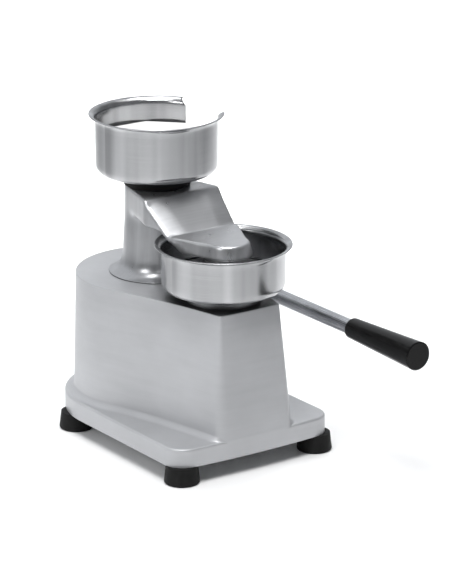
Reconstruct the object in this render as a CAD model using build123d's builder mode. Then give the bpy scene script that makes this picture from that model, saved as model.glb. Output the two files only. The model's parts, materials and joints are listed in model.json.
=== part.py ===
from build123d import *
from math import cos, radians, sin, sqrt
import os

# Manual hamburger press.  A hollow cast body carries the forming bowl in front and a sliding column behind
# it.  The column carries the neck casting with the press head, which closes into the bowl, and a cup for
# separating papers on top.  A side lever turns a crank inside the body: it lifts the column, and near the
# end of its travel the yoke pushes the ejector plate up through the bowl, so that the shaped patty can be
# taken off.
#
# All sizes are millimetres.  +X is the operator's right, the operator stands at -Y, +Z is up from the table.
# Plan positions are measured from the middle of the four feet; the helper planes move them so that the
# origin of the whole press lies on the table, under the centre of its overall box.

# ---------------------------------------------------------------- driving dimensions
PATTY_D = 130.0           # bore of the forming bowl
RUN_FIT = 0.04            # radial clearance of a shaft in its bush
AIR = 0.3                 # gap between neighbouring pieces that move apart

# feet
FOOT_X = 86.5
FOOT_Y = 102.0
FOOT_R = 19.0
FOOT_TOP_R = 17.0
FOOT_H = 19.5
FOOT_EDGE_R = 2.5
FOOT_RECESS_R = 8.5
FOOT_RECESS_DEPTH = 8.0

# flange at the bottom of the body
FLANGE_HALF = 102.0
FLANGE_FRONT = -119.0     # front edge on the centre line
FLANGE_BOW = 3.0          # how far the front edge bows forward between its corners
FLANGE_CORNER_R = 24.0
FLANGE_REAR_Y = 71.0      # centre of the round rear end
FLANGE_TOP = 40.0
FLANGE_EDGE_R = 2.5
SKIRT_WALL = 6.0
LEDGE_SKIN = 7.0
COVE_R = 8.0              # hollow fillet between the flange and the upstand

# upstand of the body
BODY_TOP = 174.0
UPSTAND_REAR_Y = 72.0
UPSTAND_FOOT_R = 91.5
UPSTAND_TOP_R = 88.0
UPSTAND_FOOT_HALF = 48.0  # half width of the front face at the flange
UPSTAND_TOP_HALF = 38.4
UPSTAND_TOP_FRONT = -103.5
UPSTAND_TOP_BOW = 1.0
WAIST_Y = -22.0           # where the sides draw in between the round rear and the front corners
WAIST_FOOT_HALF = 66.5
WAIST_TOP_HALF = 59.6
SIDE_START = 20.0         # degrees in front of the widest point where the round rear ends
CORNER_DRAW_IN = 0.17     # sideways run of the side per unit forwards, where it reaches the front corner
FRONT_CORNER_FOOT_R = 13.0
FRONT_CORNER_TOP_R = 2.5
TOP_EDGE_R = 1.0          # rounding between the top face and the sides
BODY_WALL = 6.5
ROOF = 8.0

# column and its guides
COLUMN_Y = 70.0
SHAFT_R = 14.0
SHAFT_BOTTOM = 26.0
SHAFT_TOP = 236.0
GUIDE_R = 18.0            # outside of the column bushes
TOP_GUIDE_LOW = 159.5
LOW_GUIDE_LOW = 58.0
LOW_GUIDE_TOP = 80.0
GUIDE_BOSS_R = 26.0
WEB_LOW = 62.0
WEB_TOP = 74.0

# neck casting
NECK_LOW = 174.3
FLARE_R = 55.0
FLARE_H = 20.0
FLARE_EDGE = 0.5          # thickness of the flare's feathered rim
NECK_LOW_R = 39.0
NECK_HIGH_R = 33.4
ARM_TOP = 272.3
ARM_LOW = 243.0
ARM_REAR_R = 35.0
ARM_HALF = 49.0           # half width at the upper edge of the sloping front
ARM_FRONT_Y = 22.0
SHOULDER_Y = -22.0
SHOULDER_HALF = 43.0
SLOPE_LOW_Y = -18.0       # where the sloping front meets the flat nose
NOSE_TOP = 240.3
NOSE_LOW = 225.0
NOSE_HALF = 25.0          # half width where the shoulders have run out
NOSE_ROOT_Y = -61.0
NOSE_END_HALF = 22.3      # half width where the round tip starts
NOSE_END_Y = -69.6
NOSE_TIP_Y = -86.0
NOSE_FALL = 0.6           # how far the nose's top falls towards its tip
UNDER_NOSE_Y = -34.0      # where the underside of the nose starts to rise to the underside of the arm
UNDER_ARM_Y = -4.0
NECK_EDGE_R = 2.5

# forming bowl, ejector and press head
BOWL_Y = -55.0
SHEET = 1.2               # stainless sheet of bowl and cup
BOWL_LOW = 186.0
BOWL_RIM = 234.1
LIP_R = 72.6              # outside radius of the flared lip
BEND_R = 9.0              # corner between floor and wall
BOSS_R = 40.0
EJECTOR_ROD_R = 6.0
EJECTOR_BUSH_R = 10.0
EJECTOR_PLATE_T = 3.0
PATTY_GAP = 5.5           # closed height of the patty space at rest
HEAD_R = 63.0
HEAD_T = 5.0
STEM_R = 21.0

# paper cup
CUP_LOW = 286.0
CUP_RIM = 350.4
CUP_CUT_FRONT = -33.0     # degrees round from +X where the cut-away starts
CUP_CUT_REAR = 27.0
CUP_CUT_SLOPE = 6.0       # how far the upper rear corner of the cut-away is sloped off, along and down
SPACER_R = 36.0
PAPER_R = 63.6            # corner radius of the eight-sided sheets
PAPER_STACK = 37.0
PAPER_CURL = 8.0          # how far the lowest sheets draw in over the cup's rounded corner

# lever and crank
LEVER_TRAVEL = 64.0       # degrees
CRANK_R = 40.0
CRANK_Y = 45.0
CRANK_Z = 124.0
CRANK_SHAFT_R = 9.0
CRANK_BUSH_R = 12.5
CRANK_IN = 24.0           # inner end of the crank boss, from the centre plane
CRANK_OUT = 36.0
CRANK_BOSS_R = 16.0
PIN_R = 5.0
ROLLER_R = 7.0
SLOT_GAP = 0.8            # above and below the roller
YOKE_HALF = 9.0           # half thickness of the yoke's arm
ROD_X = 104.0
ROD_Z = 145.5
ROD_R = 8.3
ROD_REAR_Y = 24.0
ROD_FRONT_Y = -205.0
GRIP_REAR_Y = -144.0
GRIP_FRONT_Y = -257.0
GRIP_REAR_R = 11.3
GRIP_FRONT_R = 15.5
HUB_IN = 91.5
HUB_OUT = 116.0
END_SCREW_LEN = 14.0

# travel
EJECTOR_LIFT = 30.0
HEAD_LIFT = 2 * CRANK_R * sin(radians(LEVER_TRAVEL / 2))

# origin: under the centre of the overall box
LEFT = FOOT_X + FOOT_R
RIGHT = ROD_X + GRIP_FRONT_R
REAR = FLANGE_REAR_Y + FLANGE_HALF
CENTRE_X = (LEFT - RIGHT) / 2
CENTRE_Y = (-GRIP_FRONT_Y - REAR) / 2

os.makedirs("parts", exist_ok=True)


# ---------------------------------------------------------------- helpers
def level(z, x=0.0, y=0.0):
    """Horizontal plane at height z, centred on a plan position."""
    return Plane(origin=(CENTRE_X + x, CENTRE_Y + y, z))


def facing_right(x, y=0.0, z=0.0):
    """Upright plane whose normal is +X: its own x runs along +Y and its own y along +Z."""
    return Plane(origin=(CENTRE_X + x, CENTRE_Y + y, z), x_dir=(0, 1, 0), z_dir=(1, 0, 0))


def facing_front(y, x=0.0, z=0.0):
    """Upright plane whose normal is -Y: its own x runs along +X and its own y along +Z."""
    return Plane(origin=(CENTRE_X + x, CENTRE_Y + y, z), x_dir=(1, 0, 0), z_dir=(0, -1, 0))


def save(piece, name):
    """Label one finished piece and write it to its own file."""
    piece.label = name
    export_step(piece, f"parts/{name}.step")


def bowed_front_y(half):
    """Where the bowed front edge of the flange is, at a distance from the centre line."""
    corner = FLANGE_HALF - FLANGE_CORNER_R
    bow_r = (corner**2 + FLANGE_BOW**2) / (2 * FLANGE_BOW)
    return FLANGE_FRONT + bow_r - sqrt(bow_r**2 - half**2)


def flange_section(z, inset=0.0):
    """Face of the flange's outline at height z."""
    half = FLANGE_HALF - inset
    front = bowed_front_y(half)
    with BuildSketch(level(z)) as section:
        with BuildLine():
            ThreePointArc((-half, front + inset), (0, FLANGE_FRONT + inset), (half, front + inset))
            Line((half, front + inset), (half, FLANGE_REAR_Y))
            ThreePointArc((half, FLANGE_REAR_Y), (0, FLANGE_REAR_Y + half), (-half, FLANGE_REAR_Y))
            Line((-half, FLANGE_REAR_Y), (-half, front + inset))
        make_face()
        fillet(section.vertices().group_by(Axis.Y)[0], FLANGE_CORNER_R - inset)
    return section.sketch.face()


def upstand_section(z, grow=0.0, grow_front=None, part_up=None):
    """Face of the upstand's outline at height z, grown sideways and to the rear, and in front.

    The outline changes evenly from the foot of the upstand (part_up 0) to its top (part_up 1).
    """
    if part_up is None:
        part_up = (z - FLANGE_TOP) / (BODY_TOP - FLANGE_TOP)
    if grow_front is None:
        grow_front = grow

    def between(foot, top):
        return foot + (top - foot) * part_up

    rear_r = between(UPSTAND_FOOT_R, UPSTAND_TOP_R) + grow
    waist = between(WAIST_FOOT_HALF, WAIST_TOP_HALF) + grow
    half = between(UPSTAND_FOOT_HALF, UPSTAND_TOP_HALF) + grow
    front_y = between(bowed_front_y(UPSTAND_FOOT_HALF), UPSTAND_TOP_FRONT) - grow_front
    bow = between(bowed_front_y(UPSTAND_FOOT_HALF) - FLANGE_FRONT, UPSTAND_TOP_BOW)
    corner_r = max(between(FRONT_CORNER_FOOT_R, FRONT_CORNER_TOP_R) + grow, 1.0)
    start = radians(-SIDE_START)
    side_x = rear_r * cos(start)
    side_y = UPSTAND_REAR_Y + rear_r * sin(start)
    with BuildSketch(level(z)) as section:
        with BuildLine():
            ThreePointArc((-half, front_y), (0, front_y - bow), (half, front_y))
            Spline((side_x, side_y), (waist, WAIST_Y), (half, front_y),
                   tangents=[(sin(start), -cos(start)), (-CORNER_DRAW_IN, -1)])
            ThreePointArc((side_x, side_y), (0, UPSTAND_REAR_Y + rear_r), (-side_x, side_y))
            Spline((-side_x, side_y), (-waist, WAIST_Y), (-half, front_y),
                   tangents=[(-sin(start), -cos(start)), (CORNER_DRAW_IN, -1)])
        make_face()
        fillet(section.vertices().group_by(Axis.Y)[0], corner_r)
    return section.sketch.face()


def disc(plane, radius, height):
    """Plain round solid that grows from the plane along its normal."""
    with BuildPart() as piece:
        with BuildSketch(plane):
            Circle(radius)
        extrude(amount=height)
    return piece.part


def ring(plane, outer_r, inner_r, height, edge=0.4):
    """Bush, washer or collar with broken edges, growing from the plane along its normal."""
    with BuildPart() as piece:
        with BuildSketch(plane):
            Circle(outer_r)
            Circle(inner_r, mode=Mode.SUBTRACT)
        extrude(amount=height)
        chamfer(piece.edges().filter_by(GeomType.CIRCLE).group_by(SortBy.RADIUS)[-1], edge)
    return piece.part


def cap_screw(plane, shank_r, shank_len, head_r, head_h, socket_r):
    """Socket-head screw: its head's seat is on the plane and its head stands along the normal."""
    with BuildPart() as piece:
        with BuildSketch(plane):
            Circle(head_r)
        extrude(amount=head_h)
        chamfer(piece.edges(), head_h * 0.12)
        with BuildSketch(plane):
            Circle(shank_r)
        extrude(amount=-shank_len)
        with BuildSketch(plane.offset(head_h)):
            RegularPolygon(socket_r, 6)
        extrude(amount=-head_h * 0.6, mode=Mode.SUBTRACT)
    return piece.part


COUNTERSINK = 44.9        # degrees between a flat head's cone and its axis


def flat_screw(plane, shank_r, shank_len, head_r):
    """Countersunk screw: the plane is flush with its head, whose cone goes down against the normal."""
    cone_h = head_r - shank_r
    with BuildPart() as piece:
        with BuildSketch(plane):
            Circle(head_r)
        extrude(amount=-cone_h, taper=COUNTERSINK)
        with BuildSketch(plane):
            Circle(shank_r)
        extrude(amount=-shank_len)
        with BuildSketch(plane):
            RegularPolygon(shank_r * 0.7, 6)
        extrude(amount=-cone_h * 0.8, mode=Mode.SUBTRACT)
    return piece.part


def flat_screw_hole(plane, shank_r, depth, head_r):
    """The space a countersunk screw fills, to be cut from the pieces it holds."""
    with BuildPart() as space:
        with BuildSketch(plane):
            Circle(head_r)
        extrude(amount=-(head_r - shank_r), taper=COUNTERSINK)
        with BuildSketch(plane):
            Circle(shank_r)
        extrude(amount=-depth)
    return space.part


def group(pieces, name):
    """Write several identical pieces as one node."""
    save(Compound(children=list(pieces)), name)


FEET = [(side * FOOT_X, end * FOOT_Y) for end in (-1, 1) for side in (-1, 1)]
FOOT_NAMES = ["foot_front_left", "foot_front_right", "foot_rear_left", "foot_rear_right"]

# ---------------------------------------------------------------- body casting
COVER_LOW = FOOT_H + 1.0
COVER_T = 2.0
COVER_SCREWS = [(-62, -92), (62, -92), (-82, -8), (82, -8), (0, 153)]
COVER_BOSS_R = 6.5
COVER_SCREW_R = 2.0
COVER_SCREW_LEN = 10.0
FOOT_BOSS_R = 10.0
FOOT_SCREW_R = 3.0
FOOT_SCREW_TOP = 31.0
INNER_TOP = BODY_TOP - ROOF
LEDGE_LOW = FLANGE_TOP - LEDGE_SKIN
WEB_DEPTH = 2 * SHAFT_R + 16.0
COVE_STEPS = 6
COVE_SINK = 0.4           # how far the hollow fillet starts inside the walls it joins
TOP_EDGE_STEPS = 3
EJECTOR_BOSS_R = 18.0
EJECTOR_BOSS_LOW = 160.0
CRANK_BORE_IN = 46.0
CRANK_BORE_OUT = 90.5
CRANK_HOUSING_R = 20.0
FIX_PCD_R = 30.0          # circle of the screws that hold the bowl, and those that hold the cup
FIX_SCREW_R = 2.5
FIX_HEAD_R = 5.0
FIX_DEPTH = 12.0
BOWL_FLOOR = BOWL_LOW + SHEET
FIX_TURNS = [radians(90 + 120 * turn) for turn in range(3)]


def fixing_planes(z, y):
    """Upward planes at the three fixing screws round an axis on the centre line."""
    return [level(z, FIX_PCD_R * cos(turn), y + FIX_PCD_R * sin(turn)) for turn in FIX_TURNS]


with BuildPart() as body_casting:
    extrude(flange_section(FOOT_H), FLANGE_TOP - FOOT_H)
    fillet(body_casting.faces().sort_by(Axis.Z)[-1].edges(), FLANGE_EDGE_R)
    # hollow fillet on the ledges: its upper end is just inside the sides, and its front inside the front
    cove = [upstand_section(FLANGE_TOP - 2 * FLANGE_EDGE_R, COVE_R - COVE_SINK, -COVE_SINK, part_up=0)]
    for step in range(COVE_STEPS + 1):
        turn = radians(90 * step / COVE_STEPS)
        height = FLANGE_TOP + COVE_R * (1 - cos(turn))
        cove.append(upstand_section(height, COVE_R * (1 - sin(turn)) - COVE_SINK, -COVE_SINK))
    loft(sections=cove, ruled=True)
    # the upstand, with its lower end sunk into the flange so that the front face runs down flush
    extrude(upstand_section(FLANGE_TOP - 2 * FLANGE_EDGE_R, part_up=0), 2 * FLANGE_EDGE_R)
    walls = [upstand_section(FLANGE_TOP)]
    for step in range(TOP_EDGE_STEPS + 1):
        turn = radians(90 * step / TOP_EDGE_STEPS)
        height = BODY_TOP - TOP_EDGE_R * (1 - sin(turn))
        walls.append(upstand_section(height, -TOP_EDGE_R * (1 - cos(turn))))
    loft(sections=walls, ruled=True)
    # hollow underside: a shallow pocket in the flange, then the space of the works
    extrude(flange_section(FOOT_H, inset=SKIRT_WALL), LEDGE_LOW - FOOT_H, mode=Mode.SUBTRACT)
    loft(sections=[upstand_section(LEDGE_LOW - 1, grow=-BODY_WALL, part_up=0),
                   upstand_section(INNER_TOP, grow=-BODY_WALL)], ruled=True, mode=Mode.SUBTRACT)
    # bosses and the cross web inside
    with BuildSketch(level(TOP_GUIDE_LOW, 0, COLUMN_Y)):
        Circle(GUIDE_BOSS_R)
    extrude(amount=INNER_TOP + 1 - TOP_GUIDE_LOW)
    with BuildSketch(level(LOW_GUIDE_LOW, 0, COLUMN_Y)):
        Circle(GUIDE_BOSS_R)
    extrude(amount=LOW_GUIDE_TOP - LOW_GUIDE_LOW)
    with BuildSketch(level(WEB_LOW, 0, COLUMN_Y)):
        Rectangle(2 * UPSTAND_TOP_R - BODY_WALL, WEB_DEPTH)
    extrude(amount=WEB_TOP - WEB_LOW)
    with BuildSketch(level(EJECTOR_BOSS_LOW, 0, BOWL_Y)):
        Circle(EJECTOR_BOSS_R)
    extrude(amount=INNER_TOP + 1 - EJECTOR_BOSS_LOW)
    with BuildSketch(level(BODY_TOP - 1, 0, BOWL_Y)):
        Circle(BOSS_R)
    extrude(amount=BOWL_LOW - BODY_TOP + 1)
    with BuildSketch(facing_right(CRANK_BORE_IN, CRANK_Y, CRANK_Z)):
        Circle(CRANK_HOUSING_R)
    extrude(amount=CRANK_BORE_OUT - CRANK_BORE_IN)
    for x, y in FEET:
        with BuildSketch(level(FOOT_H, x, y)):
            Circle(FOOT_BOSS_R)
        extrude(amount=LEDGE_LOW + 1 - FOOT_H)
    for x, y in COVER_SCREWS:
        with BuildSketch(level(COVER_LOW + COVER_T, x, y)):
            Circle(COVER_BOSS_R)
        extrude(amount=LEDGE_LOW + 1 - COVER_LOW - COVER_T)
    # bores
    with BuildSketch(level(TOP_GUIDE_LOW, 0, COLUMN_Y)):
        Circle(GUIDE_R)
    extrude(amount=BODY_TOP - TOP_GUIDE_LOW, mode=Mode.SUBTRACT)
    with BuildSketch(level(LOW_GUIDE_LOW, 0, COLUMN_Y)):
        Circle(GUIDE_R)
    extrude(amount=LOW_GUIDE_TOP - LOW_GUIDE_LOW, mode=Mode.SUBTRACT)
    with BuildSketch(level(EJECTOR_BOSS_LOW, 0, BOWL_Y)):
        Circle(EJECTOR_BUSH_R)
    extrude(amount=BOWL_LOW - EJECTOR_BOSS_LOW, mode=Mode.SUBTRACT)
    with BuildSketch(facing_right(CRANK_BORE_IN, CRANK_Y, CRANK_Z)):
        Circle(CRANK_BUSH_R)
    extrude(amount=CRANK_BORE_OUT - CRANK_BORE_IN, mode=Mode.SUBTRACT)
    for x, y in COVER_SCREWS:
        with BuildSketch(level(COVER_LOW, x, y)):
            Circle(COVER_SCREW_R)
        extrude(amount=COVER_SCREW_LEN, mode=Mode.SUBTRACT)
    for x, y in FEET:
        with BuildSketch(level(FOOT_H, x, y)):
            Circle(FOOT_SCREW_R)
        extrude(amount=FOOT_SCREW_TOP - FOOT_H, mode=Mode.SUBTRACT)
    for plane in fixing_planes(BOWL_FLOOR, BOWL_Y):
        add(flat_screw_hole(plane, FIX_SCREW_R, FIX_DEPTH, FIX_HEAD_R), mode=Mode.SUBTRACT)
save(body_casting.part, "body_casting")

# ---------------------------------------------------------------- base cover
with BuildPart() as base_cover:
    extrude(flange_section(COVER_LOW, inset=SKIRT_WALL + AIR), COVER_T)
    for x, y in FEET:
        with BuildSketch(level(COVER_LOW, x, y)):
            Circle(FOOT_BOSS_R + AIR)
        extrude(amount=COVER_T, mode=Mode.SUBTRACT)
    for x, y in COVER_SCREWS:
        with BuildSketch(level(COVER_LOW, x, y)):
            Circle(COVER_SCREW_R)
        extrude(amount=COVER_T, mode=Mode.SUBTRACT)
save(base_cover.part, "base_cover")

cover_screws = []
for x, y in COVER_SCREWS:
    seat = Plane(origin=level(COVER_LOW, x, y).origin, z_dir=(0, 0, -1))
    screw = cap_screw(seat, COVER_SCREW_R, COVER_SCREW_LEN, head_r=3.8, head_h=2.4, socket_r=1.3)
    cover_screws.append(screw)
group(cover_screws, "base_cover_screws")

# ---------------------------------------------------------------- feet
foot_screws = []
foot_washers = []
WASHER_T = 1.6
for name, (x, y) in zip(FOOT_NAMES, FEET):
    with BuildPart() as foot:
        with BuildSketch(facing_right(x, y)):
            with BuildLine():
                Line((0, 0), (FOOT_R - FOOT_EDGE_R, 0))
                RadiusArc((FOOT_R - FOOT_EDGE_R, 0), (FOOT_R, FOOT_EDGE_R), -FOOT_EDGE_R)
                Polyline((FOOT_R, FOOT_EDGE_R), (FOOT_TOP_R, FOOT_H), (0, FOOT_H), (0, 0))
            make_face()
        revolve(axis=Axis(level(0, x, y).origin, (0, 0, 1)))
        with BuildSketch(level(0, x, y)):
            Circle(FOOT_RECESS_R)
        extrude(amount=FOOT_RECESS_DEPTH, mode=Mode.SUBTRACT)
        with BuildSketch(level(0, x, y)):
            Circle(FOOT_SCREW_R)
        extrude(amount=FOOT_H, mode=Mode.SUBTRACT)
    save(foot.part, name)
    washer_low = level(FOOT_RECESS_DEPTH - WASHER_T, x, y)
    foot_washers.append(ring(washer_low, outer_r=7.5, inner_r=FOOT_SCREW_R, height=WASHER_T, edge=0.3))
    seat = Plane(origin=washer_low.origin, z_dir=(0, 0, -1))
    screw_len = FOOT_SCREW_TOP - FOOT_RECESS_DEPTH
    foot_screws.append(cap_screw(seat, FOOT_SCREW_R, screw_len, head_r=5.0, head_h=4.5, socket_r=2.6))
group(foot_screws, "foot_screws")
group(foot_washers, "foot_washers")

# ---------------------------------------------------------------- column
RING_GROOVE_LOW = 114.0
RING_GROOVE_T = 2.0
RING_GROOVE_DEPTH = 1.2
column_axis = Axis(level(0, 0, COLUMN_Y).origin, (0, 0, 1))

with BuildPart() as column_shaft:
    with BuildSketch(level(SHAFT_BOTTOM, 0, COLUMN_Y)):
        Circle(SHAFT_R)
    extrude(amount=SHAFT_TOP - SHAFT_BOTTOM)
    chamfer(column_shaft.edges().filter_by(GeomType.CIRCLE), 1.0)
    with BuildSketch(level(RING_GROOVE_LOW, 0, COLUMN_Y)):
        Circle(SHAFT_R + 1)
        Circle(SHAFT_R - RING_GROOVE_DEPTH, mode=Mode.SUBTRACT)
    extrude(amount=RING_GROOVE_T, mode=Mode.SUBTRACT)
save(column_shaft.part, "column_shaft")

BUSH_SINK = 0.2           # the upper bush ends this far below the top of the body
for bush_low, bush_top, name in ((TOP_GUIDE_LOW, BODY_TOP - BUSH_SINK, "column_bush_upper"),
                                 (LOW_GUIDE_LOW, LOW_GUIDE_TOP, "column_bush_lower")):
    bush_end = level(bush_low, 0, COLUMN_Y)
    save(ring(bush_end, GUIDE_R, SHAFT_R + RUN_FIT, bush_top - bush_low), name)

# ---------------------------------------------------------------- neck casting: column, arm and nose
LOCK_Z = 200.0
LOCK_R = 4.0
LOCK_LEN = 18.0
LOCK_BORE = 40.0          # long enough to run out through the back of the column
CUP_FLOOR = CUP_LOW + SHEET
CUP_FIX_DEPTH = 26.0
STEM_BOLT_R = 4.0
STEM_BOLT_DEPTH = 11.0
STEM_HEAD_R = 7.5
STEM_HEAD_H = 8.0
NECK_TOP_JOIN = ARM_TOP - 4.0
FLARE_RIM_RISE = 0.02     # upward run of the flare per unit inwards, at its rim
FLARE_TOP_DRAFT = 0.07    # inward run of the column per unit upwards, where the flare joins it
ARM_REAR_TURN = radians(8)   # the arm's sides leave its round rear this far behind the column's axis
ARM_BLANK_HALF = 60.0     # the arm's side view is this wide each way before it is cut to its plan
ARM_BLANK_REAR = COLUMN_Y + 50.0
ARM_BLANK_TIP = NOSE_TIP_Y - 10.0
BLANK_SPARE = 5.0
# corners of the arm's plan: how far forward, and the radius
ARM_CORNERS = [(NOSE_ROOT_Y, 25), (SHOULDER_Y, 7), (ARM_FRONT_Y, 8)]


def neck_radius(z):
    """Outside radius of the tapering column of the neck casting."""
    share = (z - NECK_LOW) / (ARM_TOP - NECK_LOW)
    return NECK_LOW_R + (NECK_HIGH_R - NECK_LOW_R) * share


with BuildPart() as arm_plan:
    with BuildSketch(level(NOSE_LOW - BLANK_SPARE)) as plan:
        with BuildLine():
            rear_x = ARM_REAR_R * cos(ARM_REAR_TURN)
            rear_y = COLUMN_Y + ARM_REAR_R * sin(ARM_REAR_TURN)
            ThreePointArc((-rear_x, rear_y), (0, COLUMN_Y + ARM_REAR_R), (rear_x, rear_y))
            Polyline((rear_x, rear_y), (ARM_HALF, ARM_FRONT_Y), (SHOULDER_HALF, SHOULDER_Y),
                     (NOSE_HALF, NOSE_ROOT_Y), (NOSE_END_HALF, NOSE_END_Y))
            ThreePointArc((NOSE_END_HALF, NOSE_END_Y), (0, NOSE_TIP_Y), (-NOSE_END_HALF, NOSE_END_Y))
            Polyline((-NOSE_END_HALF, NOSE_END_Y), (-NOSE_HALF, NOSE_ROOT_Y), (-SHOULDER_HALF, SHOULDER_Y),
                     (-ARM_HALF, ARM_FRONT_Y), (-rear_x, rear_y))
        make_face()
        for corner_y, corner_r in ARM_CORNERS:
            fillet(plan.vertices().filter_by_position(Axis.Y, corner_y - 1, corner_y + 1), corner_r)
    extrude(amount=ARM_TOP - NOSE_LOW + 2 * BLANK_SPARE)

with BuildPart() as neck_casting:
    # arm: its side view, cut to its plan
    with BuildSketch(facing_right(-ARM_BLANK_HALF, 0, 0)):
        with BuildLine():
            Polyline((ARM_BLANK_REAR, ARM_TOP), (ARM_FRONT_Y, ARM_TOP), (SLOPE_LOW_Y, NOSE_TOP),
                     (ARM_BLANK_TIP, NOSE_TOP - NOSE_FALL), (ARM_BLANK_TIP, NOSE_LOW),
                     (UNDER_NOSE_Y, NOSE_LOW), (UNDER_ARM_Y, ARM_LOW), (ARM_BLANK_REAR, ARM_LOW),
                     (ARM_BLANK_REAR, ARM_TOP))
        make_face()
    extrude(amount=2 * ARM_BLANK_HALF)
    add(arm_plan.part, mode=Mode.INTERSECT)
    fillet(neck_casting.edges().filter_by_position(Axis.Z, NOSE_TOP - 1.0, ARM_TOP + 1.0), NECK_EDGE_R)
    # column with its flared foot
    with BuildSketch(facing_right(0, COLUMN_Y, 0)):
        with BuildLine():
            flare_top = NECK_LOW + FLARE_H
            waist_r = neck_radius(flare_top)
            Line((0, NECK_LOW), (FLARE_R, NECK_LOW))
            Line((FLARE_R, NECK_LOW), (FLARE_R, NECK_LOW + FLARE_EDGE))
            Spline((FLARE_R, NECK_LOW + FLARE_EDGE), (waist_r, flare_top),
                   tangents=[(-1, FLARE_RIM_RISE), (-FLARE_TOP_DRAFT, 1)])
            Polyline((waist_r, flare_top), (neck_radius(NECK_TOP_JOIN), NECK_TOP_JOIN),
                     (0, NECK_TOP_JOIN), (0, NECK_LOW))
        make_face()
    revolve(axis=column_axis)
    # bore for the shaft, and the lock screw's hole from behind
    with BuildSketch(level(NECK_LOW, 0, COLUMN_Y)):
        Circle(SHAFT_R)
    extrude(amount=SHAFT_TOP - NECK_LOW, mode=Mode.SUBTRACT)
    with BuildSketch(facing_front(COLUMN_Y + SHAFT_R, 0, LOCK_Z)):
        Circle(LOCK_R)
    extrude(amount=-LOCK_BORE, mode=Mode.SUBTRACT)
    for plane in fixing_planes(CUP_FLOOR, COLUMN_Y):
        add(flat_screw_hole(plane, FIX_SCREW_R, CUP_FIX_DEPTH, FIX_HEAD_R), mode=Mode.SUBTRACT)
    with BuildSketch(level(NOSE_LOW, 0, BOWL_Y)):
        Circle(STEM_BOLT_R)
    extrude(amount=STEM_BOLT_DEPTH, mode=Mode.SUBTRACT)
save(neck_casting.part, "neck_casting")

lock_seat = Plane(origin=facing_front(COLUMN_Y + SHAFT_R, 0, LOCK_Z).origin, z_dir=(0, 1, 0))
with BuildPart() as neck_lock_screw:
    with BuildSketch(lock_seat):
        Circle(LOCK_R)
    extrude(amount=LOCK_LEN)
    with BuildSketch(lock_seat.offset(LOCK_LEN)):
        RegularPolygon(LOCK_R * 0.55, 6)
    extrude(amount=-LOCK_R, mode=Mode.SUBTRACT)
save(neck_lock_screw.part, "neck_lock_screw")

# ---------------------------------------------------------------- lift yoke, riding on the column
PIN_REST_Y = CRANK_Y - CRANK_R * cos(radians(LEVER_TRAVEL / 2))
PIN_REST_Z = CRANK_Z - HEAD_LIFT / 2
PIN_NEAR_Y = CRANK_Y - CRANK_R
SLOT_Y = (PIN_REST_Y + PIN_NEAR_Y) / 2
SLOT_H = 2 * (ROLLER_R + SLOT_GAP)
SLOT_SPARE = 6.0
SLOT_L = PIN_REST_Y - PIN_NEAR_Y + SLOT_H + SLOT_SPARE
YOKE_LOW = 90.0
YOKE_HUB_R = 22.0
SLOT_WALL = 7.0
YOKE_ROOT_Y = COLUMN_Y - 12.0   # the arm starts inside the hub
YOKE_SLANT = 4.0          # how far the arm spreads from the slot's walls to the hub and to the pad
PAD_TOP = 104.0
PAD_T = 11.0
PAD_R = 10.0

with BuildPart() as lift_yoke:
    with BuildSketch(level(YOKE_LOW, 0, COLUMN_Y)):
        Circle(YOKE_HUB_R)
    extrude(amount=RING_GROOVE_LOW - YOKE_LOW)
    with BuildSketch(facing_right(-YOKE_HALF, 0, 0)):
        with BuildLine():
            slot_top = PIN_REST_Z + SLOT_H / 2 + SLOT_WALL
            slot_low = PIN_REST_Z - SLOT_H / 2 - SLOT_WALL
            rear = SLOT_Y + SLOT_L / 2 + SLOT_WALL
            front = SLOT_Y - SLOT_L / 2 - SLOT_WALL
            root_top = RING_GROOVE_LOW - YOKE_SLANT / 2
            Polyline((YOKE_ROOT_Y, root_top), (rear + YOKE_SLANT, root_top),
                     (rear - YOKE_SLANT / 2, slot_top), (front + YOKE_SLANT / 2, slot_top),
                     (front - 2 * YOKE_SLANT, PAD_TOP), (BOWL_Y, PAD_TOP), (BOWL_Y, PAD_TOP - PAD_T),
                     (front - YOKE_SLANT, slot_low + YOKE_SLANT / 2), (front + YOKE_SLANT, slot_low),
                     (YOKE_ROOT_Y, YOKE_LOW + 1), (YOKE_ROOT_Y, root_top))
        make_face()
    extrude(amount=2 * YOKE_HALF)
    with BuildSketch(level(PAD_TOP - PAD_T, 0, BOWL_Y)):
        Circle(PAD_R)
    extrude(amount=PAD_T)
    with BuildSketch(level(YOKE_LOW, 0, COLUMN_Y)):
        Circle(SHAFT_R + RUN_FIT)
    extrude(amount=RING_GROOVE_LOW - YOKE_LOW, mode=Mode.SUBTRACT)
    with BuildSketch(facing_right(-YOKE_HALF, SLOT_Y, PIN_REST_Z)):
        SlotOverall(SLOT_L, SLOT_H)
    extrude(amount=2 * YOKE_HALF, mode=Mode.SUBTRACT)
save(lift_yoke.part, "lift_yoke")

COLLAR_T = 8.0
COLLAR_R = 20.0
COLLAR_SCREW_R = 2.5
with BuildPart() as yoke_collar:
    add(ring(level(YOKE_LOW - COLLAR_T, 0, COLUMN_Y), COLLAR_R, SHAFT_R, COLLAR_T, 0.6))
    with BuildSketch(facing_right(SHAFT_R - 1, COLUMN_Y, YOKE_LOW - COLLAR_T / 2)):
        Circle(COLLAR_SCREW_R)
    extrude(amount=COLLAR_R, mode=Mode.SUBTRACT)
save(yoke_collar.part, "yoke_collar")
with BuildPart() as collar_set_screw:
    with BuildSketch(facing_right(SHAFT_R, COLUMN_Y, YOKE_LOW - COLLAR_T / 2)):
        Circle(COLLAR_SCREW_R)
    extrude(amount=COLLAR_R - SHAFT_R - 0.6)
save(collar_set_screw.part, "collar_set_screw")

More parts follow.
